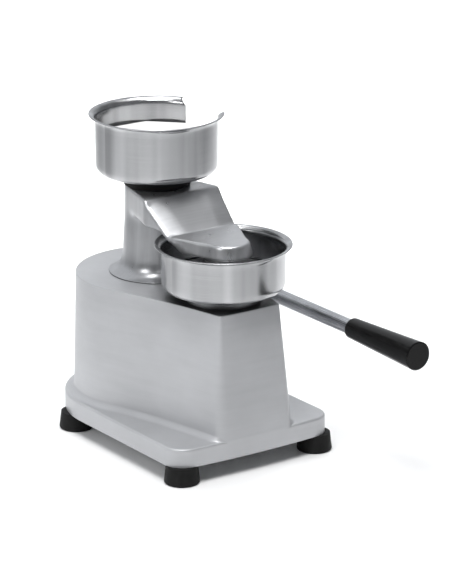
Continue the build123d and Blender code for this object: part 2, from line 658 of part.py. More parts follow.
RING_OUTER_R = SHAFT_R + 3.2
RING_GAP = 7.0
with BuildPart() as yoke_retaining_ring:
    with BuildSketch(level(RING_GROOVE_LOW, 0, COLUMN_Y)):
        Circle(RING_OUTER_R)
        Circle(SHAFT_R - RING_GROOVE_DEPTH, mode=Mode.SUBTRACT)
        with Locations((0, SHAFT_R)):
            Rectangle(RING_GAP, SHAFT_R, mode=Mode.SUBTRACT)
    extrude(amount=RING_GROOVE_T)
save(yoke_retaining_ring.part, "yoke_retaining_ring")

# ---------------------------------------------------------------- press head
HEAD_LOW = BOWL_FLOOR + AIR + EJECTOR_PLATE_T + PATTY_GAP
HEAD_TOP = HEAD_LOW + HEAD_T
HEAD_SCREW_PCD_R = 14.5
HEAD_SCREW_R = 2.0
HEAD_SCREW_HEAD_R = 4.0
HEAD_TURNS = [radians(45 + 90 * turn) for turn in range(4)]
STEM_FOOT_R = STEM_R + 6.0
STEM_FOOT_EDGE = 3.0      # upright rim of the stem's foot
STEM_FOOT_H = 7.0
STEM_SCREW_DEPTH = 9.0


def head_screw_planes(z):
    """Downward planes at the screws that hold the disc to its stem."""
    planes = []
    for turn in HEAD_TURNS:
        x = HEAD_SCREW_PCD_R * cos(turn)
        y = BOWL_Y + HEAD_SCREW_PCD_R * sin(turn)
        planes.append(Plane(origin=level(z, x, y).origin, z_dir=(0, 0, -1)))
    return planes


with BuildPart() as press_disc:
    with BuildSketch(level(HEAD_LOW, 0, BOWL_Y)):
        Circle(HEAD_R)
    extrude(amount=HEAD_T)
    chamfer(press_disc.edges(), 0.8)
    for plane in head_screw_planes(HEAD_LOW):
        add(flat_screw_hole(plane, HEAD_SCREW_R, HEAD_T, HEAD_SCREW_HEAD_R), mode=Mode.SUBTRACT)
save(press_disc.part, "press_disc")

with BuildPart() as press_stem:
    with BuildSketch(facing_right(0, BOWL_Y, 0)):
        with BuildLine():
            Polyline((0, HEAD_TOP), (STEM_FOOT_R, HEAD_TOP), (STEM_FOOT_R, HEAD_TOP + STEM_FOOT_EDGE),
                     (STEM_R, HEAD_TOP + STEM_FOOT_H), (STEM_R, NOSE_LOW), (0, NOSE_LOW), (0, HEAD_TOP))
        make_face()
    revolve(axis=Axis(level(0, 0, BOWL_Y).origin, (0, 0, 1)))
    for plane in head_screw_planes(HEAD_TOP):
        with BuildSketch(plane):
            Circle(HEAD_SCREW_R)
        extrude(amount=-STEM_SCREW_DEPTH, mode=Mode.SUBTRACT)
    with BuildSketch(level(HEAD_TOP, 0, BOWL_Y)):
        Circle(STEM_BOLT_R)
    extrude(amount=NOSE_LOW - HEAD_TOP, mode=Mode.SUBTRACT)
    with BuildSketch(level(HEAD_TOP, 0, BOWL_Y)):
        Circle(STEM_HEAD_R)
    extrude(amount=STEM_HEAD_H, mode=Mode.SUBTRACT)
save(press_stem.part, "press_stem")

bolt_seat = Plane(origin=level(HEAD_TOP + STEM_HEAD_H, 0, BOWL_Y).origin, z_dir=(0, 0, -1))
bolt_len = NOSE_LOW + STEM_BOLT_DEPTH - HEAD_TOP - STEM_HEAD_H - 0.5
stem_bolt = cap_screw(bolt_seat, STEM_BOLT_R, bolt_len, head_r=STEM_HEAD_R - 0.5, head_h=STEM_HEAD_H - 1,
                      socket_r=4.0)
save(stem_bolt, "press_stem_bolt")
disc_screw_len = HEAD_T + STEM_SCREW_DEPTH - 1
disc_screws = []
for plane in head_screw_planes(HEAD_LOW):
    disc_screws.append(flat_screw(plane, HEAD_SCREW_R, disc_screw_len, HEAD_SCREW_HEAD_R))
group(disc_screws, "press_disc_screws")


# ---------------------------------------------------------------- forming bowl and paper cup
def pan(y, low, rim):
    """Spun sheet pan: flat floor, rounded corner, upright wall and a lip flared outwards, revolved."""
    inner_r = PATTY_D / 2
    outer_r = inner_r + SHEET
    lip_turn = LIP_R - outer_r
    with BuildPart() as piece:
        with BuildSketch(facing_right(0, y, 0)):
            with BuildLine():
                Line((0, low), (outer_r - BEND_R, low))
                RadiusArc((outer_r - BEND_R, low), (outer_r, low + BEND_R), -BEND_R)
                Line((outer_r, low + BEND_R), (outer_r, rim - SHEET - lip_turn))
                RadiusArc((outer_r, rim - SHEET - lip_turn), (LIP_R, rim - SHEET), lip_turn)
                Line((LIP_R, rim - SHEET), (LIP_R, rim))
                RadiusArc((LIP_R, rim), (inner_r, rim - SHEET - lip_turn), -(lip_turn + SHEET))
                Line((inner_r, rim - SHEET - lip_turn), (inner_r, low + BEND_R))
                RadiusArc((inner_r, low + BEND_R), (outer_r - BEND_R, low + SHEET), BEND_R - SHEET)
                Line((outer_r - BEND_R, low + SHEET), (0, low + SHEET))
                Line((0, low + SHEET), (0, low))
            make_face()
        revolve(axis=Axis(level(0, 0, y).origin, (0, 0, 1)))
        for plane in fixing_planes(low + SHEET, y):
            add(flat_screw_hole(plane, FIX_SCREW_R, FIX_DEPTH, FIX_HEAD_R), mode=Mode.SUBTRACT)
    return piece.part


with BuildPart() as forming_bowl:
    add(pan(BOWL_Y, BOWL_LOW, BOWL_RIM + SHEET))
    with BuildSketch(level(BOWL_LOW, 0, BOWL_Y)):
        Circle(EJECTOR_ROD_R + 2 * AIR)
    extrude(amount=SHEET, mode=Mode.SUBTRACT)
save(forming_bowl.part, "forming_bowl")
bowl_screws = []
for plane in fixing_planes(BOWL_FLOOR, BOWL_Y):
    bowl_screws.append(flat_screw(plane, FIX_SCREW_R, FIX_DEPTH, FIX_HEAD_R))
group(bowl_screws, "bowl_screws")

with BuildPart() as paper_cup:
    add(pan(COLUMN_Y, CUP_LOW, CUP_RIM))
    # cut-away for taking the papers
    with BuildSketch(level(CUP_LOW + SHEET, 0, COLUMN_Y)):
        with BuildLine():
            reach = 2 * PATTY_D
            front = radians(CUP_CUT_FRONT)
            back = radians(CUP_CUT_REAR)
            Polyline((0, 0), (reach * cos(front), reach * sin(front)),
                     (reach * cos(back), reach * sin(back)), (0, 0))
        make_face()
    extrude(amount=CUP_RIM - CUP_LOW, mode=Mode.SUBTRACT)
    # the upper rear corner of the cut is sloped off; this plane faces outwards along the cut's rear edge
    outwards = (cos(radians(CUP_CUT_REAR)), sin(radians(CUP_CUT_REAR)), 0)
    edge_top = Plane(origin=level(CUP_RIM, 0, COLUMN_Y).origin, x_dir=(-outwards[1], outwards[0], 0),
                     z_dir=outwards)
    with BuildSketch(edge_top):
        with BuildLine():
            Polyline((-CUP_CUT_SLOPE, CUP_CUT_SLOPE), (-CUP_CUT_SLOPE, -2 * CUP_CUT_SLOPE),
                     (2 * CUP_CUT_SLOPE, CUP_CUT_SLOPE), (-CUP_CUT_SLOPE, CUP_CUT_SLOPE))
        make_face()
    extrude(amount=LIP_R + 1, mode=Mode.SUBTRACT)
save(paper_cup.part, "paper_cup")
cup_screws = []
for plane in fixing_planes(CUP_FLOOR, COLUMN_Y):
    cup_screws.append(flat_screw(plane, FIX_SCREW_R, CUP_FIX_DEPTH, FIX_HEAD_R))
group(cup_screws, "cup_screws")

with BuildPart() as cup_spacer:
    with BuildSketch(level(ARM_TOP, 0, COLUMN_Y)):
        Circle(SPACER_R)
    extrude(amount=CUP_LOW - ARM_TOP)
    chamfer(cup_spacer.edges(), 0.8)
    for plane in fixing_planes(CUP_FLOOR, COLUMN_Y):
        add(flat_screw_hole(plane, FIX_SCREW_R, CUP_FIX_DEPTH, FIX_HEAD_R), mode=Mode.SUBTRACT)
save(cup_spacer.part, "cup_spacer")

with BuildPart() as paper_stack:
    low_z = CUP_FLOOR + AIR
    with BuildSketch(level(low_z, 0, COLUMN_Y)) as foot_sheet:
        RegularPolygon(PAPER_R - PAPER_CURL, 8, rotation=22.5)
    with BuildSketch(level(low_z + PAPER_CURL, 0, COLUMN_Y)) as full_sheet:
        RegularPolygon(PAPER_R, 8, rotation=22.5)
    loft(sections=[foot_sheet.sketch.face(), full_sheet.sketch.face()])
    extrude(full_sheet.sketch.face(), PAPER_STACK - PAPER_CURL)
save(paper_stack.part, "paper_stack")

# ---------------------------------------------------------------- ejector
EJECTOR_LOW = BOWL_FLOOR + AIR
FOOT_NUT_LOW = PAD_TOP + HEAD_LIFT - EJECTOR_LIFT + 0.5
FOOT_NUT_H = 10.0
FOOT_NUT_R = 10.4         # over its corners
EJECTOR_SCREW_R = 2.5
EJECTOR_SCREW_HEAD_R = 5.0
EJECTOR_SCREW_LEN = 14.0
EJECTOR_UNDER_R = 54.0
EJECTOR_TOP_R = 61.0
EJECTOR_RIM = 0.6         # upright rim of the plate
ejector_top = level(EJECTOR_LOW + EJECTOR_PLATE_T, 0, BOWL_Y)
ejector_screw_hole = flat_screw_hole(ejector_top, EJECTOR_SCREW_R, EJECTOR_SCREW_LEN, EJECTOR_SCREW_HEAD_R)
ejector_screw = flat_screw(ejector_top, EJECTOR_SCREW_R, EJECTOR_SCREW_LEN, EJECTOR_SCREW_HEAD_R)

with BuildPart() as ejector_plate:
    with BuildSketch(facing_right(0, BOWL_Y, 0)):
        with BuildLine():
            Polyline((0, EJECTOR_LOW), (EJECTOR_UNDER_R, EJECTOR_LOW),
                     (EJECTOR_TOP_R, EJECTOR_LOW + EJECTOR_PLATE_T - EJECTOR_RIM),
                     (EJECTOR_TOP_R, EJECTOR_LOW + EJECTOR_PLATE_T), (0, EJECTOR_LOW + EJECTOR_PLATE_T),
                     (0, EJECTOR_LOW))
        make_face()
    revolve(axis=Axis(level(0, 0, BOWL_Y).origin, (0, 0, 1)))
    add(ejector_screw_hole, mode=Mode.SUBTRACT)
save(ejector_plate.part, "ejector_plate")
save(ejector_screw, "ejector_plate_screw")

with BuildPart() as ejector_rod:
    with BuildSketch(level(FOOT_NUT_LOW, 0, BOWL_Y)):
        Circle(EJECTOR_ROD_R)
    extrude(amount=EJECTOR_LOW - FOOT_NUT_LOW)
    add(ejector_screw_hole, mode=Mode.SUBTRACT)
save(ejector_rod.part, "ejector_rod")

with BuildPart() as ejector_foot_nut:
    with BuildSketch(level(FOOT_NUT_LOW, 0, BOWL_Y)):
        RegularPolygon(FOOT_NUT_R, 6)
        Circle(EJECTOR_ROD_R, mode=Mode.SUBTRACT)
    extrude(amount=FOOT_NUT_H)
save(ejector_foot_nut.part, "ejector_foot_nut")
save(ring(level(EJECTOR_BOSS_LOW, 0, BOWL_Y), EJECTOR_BUSH_R, EJECTOR_ROD_R + RUN_FIT,
          BOWL_LOW - EJECTOR_BOSS_LOW, 0.5), "ejector_bush")

# ---------------------------------------------------------------- crank
crank_axis = Axis(facing_right(0, CRANK_Y, CRANK_Z).origin, (1, 0, 0))
CRANK_ARM_IN = 26.0
CRANK_ARM_OUT = 34.0
CRANK_EYE_R = 10.0
TAPER_PIN_R = 2.5
TAPER_PIN_X = (CRANK_IN + CRANK_OUT) / 2
THRUST_T = 0.7
THRUST_COLLAR_R = 13.5
CRANK_BUSH_LEN = 14.0


def crank_offset(turn, radius=CRANK_R):
    """Where a point of the crank is from its shaft, in the crank's plane: forward, and down by the turn."""
    return -radius * cos(radians(turn)), -radius * sin(radians(turn))


REST_TURN = LEVER_TRAVEL / 2
with BuildPart() as crank_arm:
    with BuildSketch(facing_right(CRANK_ARM_IN, CRANK_Y, CRANK_Z)):
        Circle(CRANK_BOSS_R - 1)
        with Locations(crank_offset(REST_TURN)):
            Circle(CRANK_EYE_R)
        make_hull()
    extrude(amount=CRANK_ARM_OUT - CRANK_ARM_IN)
    with BuildSketch(facing_right(CRANK_IN, CRANK_Y, CRANK_Z)):
        Circle(CRANK_BOSS_R)
    extrude(amount=CRANK_OUT - CRANK_IN)
    with BuildSketch(facing_right(CRANK_IN, CRANK_Y, CRANK_Z)):
        Circle(CRANK_SHAFT_R)
        with Locations(crank_offset(REST_TURN)):
            Circle(PIN_R)
    extrude(amount=CRANK_OUT - CRANK_IN, mode=Mode.SUBTRACT)
    with BuildSketch(level(CRANK_Z - CRANK_BOSS_R, TAPER_PIN_X, CRANK_Y)):
        Circle(TAPER_PIN_R)
    extrude(amount=2 * CRANK_BOSS_R, mode=Mode.SUBTRACT)
save(crank_arm.part, "crank_arm")

save(disc(level(CRANK_Z - CRANK_BOSS_R + 1, TAPER_PIN_X, CRANK_Y), TAPER_PIN_R, 2 * CRANK_BOSS_R - 2),
     "crank_taper_pin")

with BuildPart() as crank_shaft:
    with BuildSketch(facing_right(CRANK_IN, CRANK_Y, CRANK_Z)):
        Circle(CRANK_SHAFT_R)
    extrude(amount=HUB_OUT - 0.5 - CRANK_IN)
    with BuildSketch(level(CRANK_Z - CRANK_SHAFT_R - 1, TAPER_PIN_X, CRANK_Y)):
        Circle(TAPER_PIN_R)
    extrude(amount=2 * CRANK_SHAFT_R + 2, mode=Mode.SUBTRACT)
    with BuildSketch(facing_right(HUB_OUT - 0.5, CRANK_Y, CRANK_Z)):
        Circle(FIX_SCREW_R)
    extrude(amount=-END_SCREW_LEN, mode=Mode.SUBTRACT)
save(crank_shaft.part, "crank_shaft")

pin_y, pin_z = crank_offset(REST_TURN)
pin_centre = (CRANK_Y + pin_y, CRANK_Z + pin_z)
save(disc(facing_right(-YOKE_HALF, *pin_centre), PIN_R, CRANK_ARM_OUT + YOKE_HALF), "crank_pin")
roller_half = YOKE_HALF - 0.5
save(ring(facing_right(-roller_half, *pin_centre), ROLLER_R, PIN_R + RUN_FIT, 2 * roller_half, edge=0.5),
     "crank_roller")
for bush_x, name in ((CRANK_BORE_IN, "crank_bush_inner"),
                     (CRANK_BORE_OUT - CRANK_BUSH_LEN, "crank_bush_outer")):
    bush_end = facing_right(bush_x, CRANK_Y, CRANK_Z)
    save(ring(bush_end, CRANK_BUSH_R, CRANK_SHAFT_R + RUN_FIT, CRANK_BUSH_LEN), name)
collar_len = CRANK_BORE_IN - CRANK_OUT - AIR
save(ring(facing_right(CRANK_OUT, CRANK_Y, CRANK_Z), THRUST_COLLAR_R, CRANK_SHAFT_R, collar_len, edge=0.5),
     "crank_thrust_collar")

# ---------------------------------------------------------------- hand lever outside the body
SOCKET_END_Y = 8.0
SOCKET_WALL_R = 12.5
HUB_BOSS_R = 17.0
HUB_SCREW_Y = 16.0
HUB_SCREW_R = 3.0
GRIP_END_EDGE = 1.2
GRIP_REAR_EDGE_R = 2.6
HUB_EDGE_R = 2.0
SET_SCREW_SOCKET_R = 1.7

with BuildPart() as lever_hub:
    with BuildSketch(facing_right(HUB_IN, 0, 0)):
        with Locations((CRANK_Y, CRANK_Z)):
            Circle(HUB_BOSS_R)
        with Locations((CRANK_Y - 8, ROD_Z), (SOCKET_END_Y + SOCKET_WALL_R * 0.5, ROD_Z)):
            Circle(SOCKET_WALL_R)
        make_hull()
    extrude(amount=HUB_OUT - HUB_IN)
    with BuildSketch(facing_front(SOCKET_END_Y, ROD_X, ROD_Z)):
        Rectangle(60, 60)
    extrude(amount=30, mode=Mode.SUBTRACT)
    fillet(lever_hub.faces().filter_by(Axis.X).edges().filter_by(
        lambda edge: edge.center().Y > level(0, 0, SOCKET_END_Y + 0.1).origin.Y), HUB_EDGE_R)
    with BuildSketch(facing_right(HUB_IN, CRANK_Y, CRANK_Z)):
        Circle(CRANK_SHAFT_R)
    extrude(amount=HUB_OUT - HUB_IN, mode=Mode.SUBTRACT)
    with BuildSketch(facing_front(SOCKET_END_Y, ROD_X, ROD_Z)):
        Circle(ROD_R)
    extrude(amount=SOCKET_END_Y - ROD_REAR_Y, mode=Mode.SUBTRACT)
    with BuildSketch(level(ROD_Z, ROD_X, HUB_SCREW_Y)):
        Circle(HUB_SCREW_R)
    extrude(amount=20, mode=Mode.SUBTRACT)
save(lever_hub.part, "lever_hub")

with BuildPart() as hub_set_screw:
    with BuildSketch(level(ROD_Z + ROD_R, ROD_X, HUB_SCREW_Y)):
        Circle(HUB_SCREW_R)
    extrude(amount=SOCKET_WALL_R - ROD_R - 0.5)
    with BuildSketch(level(ROD_Z + SOCKET_WALL_R - 0.5, ROD_X, HUB_SCREW_Y)):
        RegularPolygon(SET_SCREW_SOCKET_R, 6)
    extrude(amount=-2.5, mode=Mode.SUBTRACT)
save(hub_set_screw.part, "hub_set_screw")

END_WASHER_T = 1.5
thrust_place = facing_right(CRANK_BORE_OUT + AIR / 2, CRANK_Y, CRANK_Z)
save(ring(thrust_place, outer_r=16.0, inner_r=CRANK_SHAFT_R + AIR, height=THRUST_T, edge=0.1),
     "lever_thrust_washer")
hub_face = facing_right(HUB_OUT, CRANK_Y, CRANK_Z)
save(ring(hub_face, outer_r=13.0, inner_r=FIX_SCREW_R, height=END_WASHER_T, edge=0.3), "lever_end_washer")
end_seat = hub_face.offset(END_WASHER_T)
save(cap_screw(end_seat, FIX_SCREW_R, END_SCREW_LEN, head_r=4.5, head_h=1.6, socket_r=1.7),
     "lever_end_screw")

with BuildPart() as lever_rod:
    with BuildSketch(facing_front(ROD_REAR_Y, ROD_X, ROD_Z)):
        Circle(ROD_R)
    extrude(amount=ROD_REAR_Y - ROD_FRONT_Y)
    chamfer(lever_rod.edges().filter_by(GeomType.CIRCLE), 0.8)
save(lever_rod.part, "lever_rod")

with BuildPart() as lever_grip:
    with BuildSketch(facing_right(ROD_X, 0, ROD_Z)):
        with BuildLine():
            Polyline((GRIP_REAR_Y, ROD_R), (GRIP_REAR_Y, GRIP_REAR_R),
                     (GRIP_FRONT_Y + GRIP_END_EDGE, GRIP_FRONT_R),
                     (GRIP_FRONT_Y, GRIP_FRONT_R - GRIP_END_EDGE), (GRIP_FRONT_Y, 0), (ROD_FRONT_Y, 0),
                     (ROD_FRONT_Y, ROD_R), (GRIP_REAR_Y, ROD_R))
        make_face()
    revolve(axis=Axis(facing_right(ROD_X, 0, ROD_Z).origin, (0, 1, 0)))
    rims = lever_grip.edges().filter_by(GeomType.CIRCLE)
    fillet(rims.filter_by(lambda edge: abs(edge.radius - GRIP_REAR_R) < 0.01), GRIP_REAR_EDGE_R)
save(lever_grip.part, "lever_grip")
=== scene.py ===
import json
import math
import random

import bmesh
import bpy
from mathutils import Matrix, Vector


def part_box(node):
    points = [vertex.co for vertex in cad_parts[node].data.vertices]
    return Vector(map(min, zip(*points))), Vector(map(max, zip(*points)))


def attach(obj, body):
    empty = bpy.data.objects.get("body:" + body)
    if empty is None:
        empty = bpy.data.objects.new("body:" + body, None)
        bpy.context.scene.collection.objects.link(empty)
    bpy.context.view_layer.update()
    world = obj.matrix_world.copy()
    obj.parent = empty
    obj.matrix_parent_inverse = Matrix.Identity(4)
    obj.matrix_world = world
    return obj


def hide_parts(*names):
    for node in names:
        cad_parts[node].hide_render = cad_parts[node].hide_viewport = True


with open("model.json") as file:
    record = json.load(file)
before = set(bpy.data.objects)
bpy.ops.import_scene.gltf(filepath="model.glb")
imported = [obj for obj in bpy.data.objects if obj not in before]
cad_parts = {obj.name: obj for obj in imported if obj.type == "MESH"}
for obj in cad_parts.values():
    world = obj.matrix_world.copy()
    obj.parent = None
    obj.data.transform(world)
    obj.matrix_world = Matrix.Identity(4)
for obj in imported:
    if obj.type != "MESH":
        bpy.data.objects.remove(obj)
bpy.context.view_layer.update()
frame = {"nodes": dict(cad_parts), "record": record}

# Manual hamburger press.  Metres throughout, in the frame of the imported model: +X is the operator's right,
# -Y the operator's side, and the floor is at Z = 0.
#
# The body casting, lever, feet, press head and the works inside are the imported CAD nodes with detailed
# materials.  The two spun pans, the neck casting and the stack of papers are modelled here in finer detail.

MM = 0.001


def middle(node):
    """Centre of a CAD node's box."""
    low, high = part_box(node)
    return (low + high) / 2


# ---------------------------------------------------------------- camera
CAMERA_AZIMUTH = math.radians(-35.16)        # from the operator's side towards the operator's left
CAMERA_ELEVATION = math.radians(18.03)
CAMERA_PLACE = (-1.93435, -2.75386, 1.27186)
SENSOR = 36.0                # millimetres, as is the lens
LENS = 205.05
CAMERA_REACH = 50.0


def aim(thing, back):
    """Turn a camera or light so that its own +Z points along back, with its top upwards."""
    thing.rotation_euler = back.to_track_quat("Z", "Y").to_euler()


def make_camera():
    """Camera at the photographed angle."""
    data = bpy.data.cameras.new("camera")
    data.lens = LENS
    data.sensor_width = SENSOR
    data.clip_end = CAMERA_REACH
    camera = bpy.data.objects.new("camera", data)
    bpy.context.scene.collection.objects.link(camera)
    camera.location = CAMERA_PLACE
    flat = math.cos(CAMERA_ELEVATION)
    aim(camera, Vector((math.sin(CAMERA_AZIMUTH) * flat, -math.cos(CAMERA_AZIMUTH) * flat,
                        math.sin(CAMERA_ELEVATION))))
    bpy.context.scene.camera = camera


# ---------------------------------------------------------------- room, floor and light
ROOM_LEVEL = 0.24            # brightness away from the wall
WALL_LEVEL = 0.85
WALL_DIRECTION = (0.0, 0.93, 0.37)
WALL_EDGE = 0.2              # cosine off the wall's direction where its brightness starts
WALL_CORE = 0.85             # cosine off the wall's direction where it is fully bright
AIR_COLOUR = (0.94, 0.965, 1.0, 1.0)

FLOOR_SIZE = 24.0
FLOOR_COLOUR = (0.94, 0.94, 0.94, 1.0)

PRESS = (0.0, 0.0, 0.18)     # what the softboxes shine at
SOFTBOXES = (                # name, place, width and height, watts
    ("softbox_key", (-0.38, -0.38, 1.6), (0.75, 0.75), 18.0),
    ("softbox_left", (-1.75, -0.35, 1.15), (0.5, 0.5), 8.0),
    ("softbox_slope", (0.35, -0.1, 1.7), (0.7, 0.7), 3.5),
)
REAR_DISTANCE = 1.7
REAR_HEIGHT = 1.5
REAR_SIZE = (0.8, 2.8)
REAR_POWER = 12.0
REAR_SPREAD = math.radians(60)


def make_surroundings():
    """Dim room with one broad bright wall behind the press, centred a little above the horizon."""
    world = bpy.data.worlds.new("studio")
    world.use_nodes = True
    tree = world.node_tree
    direction = tree.nodes.new("ShaderNodeTexCoord").outputs["Generated"]
    towards_wall = tree.nodes.new("ShaderNodeVectorMath")
    towards_wall.operation = "DOT_PRODUCT"
    towards_wall.inputs[1].default_value = WALL_DIRECTION
    tree.links.new(direction, towards_wall.inputs[0])
    brightness = tree.nodes.new("ShaderNodeMapRange")
    brightness.interpolation_type = "SMOOTHSTEP"
    brightness.inputs["From Min"].default_value = WALL_EDGE
    brightness.inputs["From Max"].default_value = WALL_CORE
    brightness.inputs["To Min"].default_value = ROOM_LEVEL
    brightness.inputs["To Max"].default_value = WALL_LEVEL
    tree.links.new(towards_wall.outputs["Value"], brightness.inputs["Value"])
    background = tree.nodes["Background"]
    background.inputs["Color"].default_value = AIR_COLOUR
    tree.links.new(brightness.outputs["Result"], background.inputs["Strength"])
    return world


def make_floor():
    """Plain pale floor."""
    bpy.ops.mesh.primitive_plane_add(size=FLOOR_SIZE, location=(0.0, 0.0, 0.0))
    floor = bpy.context.object
    floor.name = "floor"
    finish = bpy.data.materials.new("floor_white")
    finish.use_nodes = True
    shader = finish.node_tree.nodes["Principled BSDF"]
    shader.inputs["Base Color"].default_value = FLOOR_COLOUR
    shader.inputs["Roughness"].default_value = 0.9
    shader.inputs["Specular IOR Level"].default_value = 0.1
    floor.data.materials.append(finish)


def make_light(name, place, target, size, power):
    """Rectangular softbox at place that shines at target."""
    data = bpy.data.lights.new(name, "AREA")
    data.shape = "RECTANGLE"
    data.size, data.size_y = size
    data.energy = power
    light = bpy.data.objects.new(name, data)
    bpy.context.scene.collection.objects.link(light)
    light.location = place
    aim(light, Vector(place) - Vector(target))
    return light


def make_rear_light():
    """Softbox over the floor behind the press, square to the camera; a grid keeps its light down."""
    over_floor = Vector((-math.sin(CAMERA_AZIMUTH), math.cos(CAMERA_AZIMUTH), 0.0)) * REAR_DISTANCE
    place = over_floor + Vector((0.0, 0.0, REAR_HEIGHT))
    rear = make_light("softbox_rear", place, over_floor, REAR_SIZE, REAR_POWER)
    rear.rotation_euler = (0.0, 0.0, CAMERA_AZIMUTH)
    rear.data.spread = REAR_SPREAD


def make_studio():
    """Surroundings, floor and softboxes."""
    scene = bpy.context.scene
    scene.view_settings.view_transform = "Standard"
    scene.world = make_surroundings()
    make_floor()
    for name, place, size, power in SOFTBOXES:
        make_light(name, place, PRESS, size, power)
    make_rear_light()


make_camera()
make_studio()


# ---------------------------------------------------------------- material helpers
CREVICE_REACH = 16.0 * MM
AO_SAMPLES = 8
OPEN_CORNER = 0.5            # what the ambient occlusion node gives in a square inner corner


def even(scale):
    """The same scale along the three axes."""
    return (scale, scale, scale)


def grey(value, tint=0.0):
    """Neutral colour, a little bluer with tint."""
    return (value * (1 - tint), value * (1 - tint * 0.4), value * (1 + tint))


class Finish:
    """One node material: a Principled shader with the textures that feed it, in the object's own metres."""

    def __init__(self, name, **constants):
        self.material = bpy.data.materials.new(name)
        self.material.use_nodes = True
        self.tree = self.material.node_tree
        self.shader = self.tree.nodes["Principled BSDF"]
        for socket, value in constants.items():
            self.shader.inputs[socket.replace("_", " ")].default_value = value
        self.place = self.tree.nodes.new("ShaderNodeTexCoord").outputs["Object"]

    def link(self, output, socket):
        """Join an output to an input."""
        self.tree.links.new(output, socket)

    def node(self, kind, **settings):
        """New node with plain settings."""
        node = self.tree.nodes.new("ShaderNode" + kind)
        for name, value in settings.items():
            setattr(node, name, value)
        return node

    def noise(self, scale, detail=2.0, origin=(0.0, 0.0, 0.0), source=None):
        """Cloud noise whose spots per metre are given along each axis; values gather round 0.5."""
        mapping = self.node("Mapping")
        self.link(source or self.place, mapping.inputs["Vector"])
        mapping.inputs["Scale"].default_value = scale
        mapping.inputs["Location"].default_value = origin
        noise = self.node("TexNoise")
        noise.inputs["Scale"].default_value = 1.0
        noise.inputs["Detail"].default_value = detail
        self.link(mapping.outputs["Vector"], noise.inputs["Vector"])
        return noise.outputs["Fac"]

    def spread(self, value, low, high, start=0.3, stop=0.7):
        """Value, which lies mostly between start and stop, spread over low to high."""
        spread = self.node("MapRange")
        self.link(value, spread.inputs["Value"])
        for socket, number in (("From Min", start), ("From Max", stop), ("To Min", low), ("To Max", high)):
            spread.inputs[socket].default_value = number
        return spread.outputs["Result"]

    def combine(self, first, second, operation="ADD"):
        """Two values joined by a sum, or by another operation."""
        total = self.node("Math", operation=operation)
        self.link(first, total.inputs[0])
        self.link(second, total.inputs[1])
        return total.outputs["Value"]

    def blend(self, share, first, second):
        """Value that goes from first to second with share."""
        mix = self.node("MapRange")
        self.link(share, mix.inputs["Value"])
        self.link(first, mix.inputs["To Min"])
        self.link(second, mix.inputs["To Max"])
        return mix.outputs["Result"]

    def colour(self, value, dark, light):
        """Colour between dark and light by a value from 0 to 1."""
        ramp = self.node("ValToRGB")
        ramp.color_ramp.elements[0].color = (*dark, 1.0)
        ramp.color_ramp.elements[1].color = (*light, 1.0)
        self.link(value, ramp.inputs["Fac"])
        self.link(ramp.outputs["Color"], self.shader.inputs["Base Color"])

    def rough(self, value):
        """Roughness from a value."""
        self.link(value, self.shader.inputs["Roughness"])

    def bump(self, height, depth, strength):
        """Relief whose height 0 to 1 stands for a depth in metres."""
        bump = self.node("Bump")
        bump.inputs["Distance"].default_value = depth
        bump.inputs["Strength"].default_value = strength
        self.link(height, bump.inputs["Height"])
        self.link(bump.outputs["Normal"], self.shader.inputs["Normal"])

    def painted_crevice_shade(self, reach, darkest, deepest=0.12):
        """Painted shade: darken the colour by ambient occlusion in narrow gaps and under parts that stand
        close over a surface.
        """
        base = self.shader.inputs["Base Color"]
        shade = self.node("AmbientOcclusion", samples=AO_SAMPLES)
        shade.inputs["Distance"].default_value = reach
        scale = self.node("VectorMath", operation="SCALE")
        self.link(base.links[0].from_socket, scale.inputs[0])
        lightness = self.spread(shade.outputs["AO"], darkest, 1.0, deepest, OPEN_CORNER)
        self.link(lightness, scale.inputs["Scale"])
        self.link(scale.outputs["Vector"], base)


# ---------------------------------------------------------------- materials
def cast_aluminium():
    """Satin casting: fine blasted grain, faint sanding smears along the walls and soft cloudy tone."""
    finish = Finish("cast_aluminium_satin", Metallic=0.5)
    clouds = finish.noise((11.0, 11.0, 16.0), 4.0)
    smears = finish.noise((9.0, 14.0, 150.0), 3.0, origin=(0.3, 0.0, 0.0))
    sanding = finish.noise((60.0, 60.0, 1400.0), 2.0)
    grain = finish.noise(even(1500.0), 1.0)
    tone = finish.combine(finish.spread(clouds, 0.0, 0.7), finish.spread(smears, 0.0, 0.3))
    finish.colour(tone, grey(0.44, 0.02), grey(0.54, 0.02))
    finish.rough(finish.combine(finish.spread(smears, 0.4, 0.48), finish.spread(sanding, -0.03, 0.05)))
    relief = finish.combine(finish.spread(grain, 0.0, 0.6), finish.spread(sanding, 0.0, 0.4))
    finish.bump(relief, 0.03 * MM, 0.6)
    # Painted shade: the colour darkens almost to black in gaps and under the bowl, where shade falls.
    finish.painted_crevice_shade(2 * CREVICE_REACH, 0.03, deepest=0.33)
    return finish.material


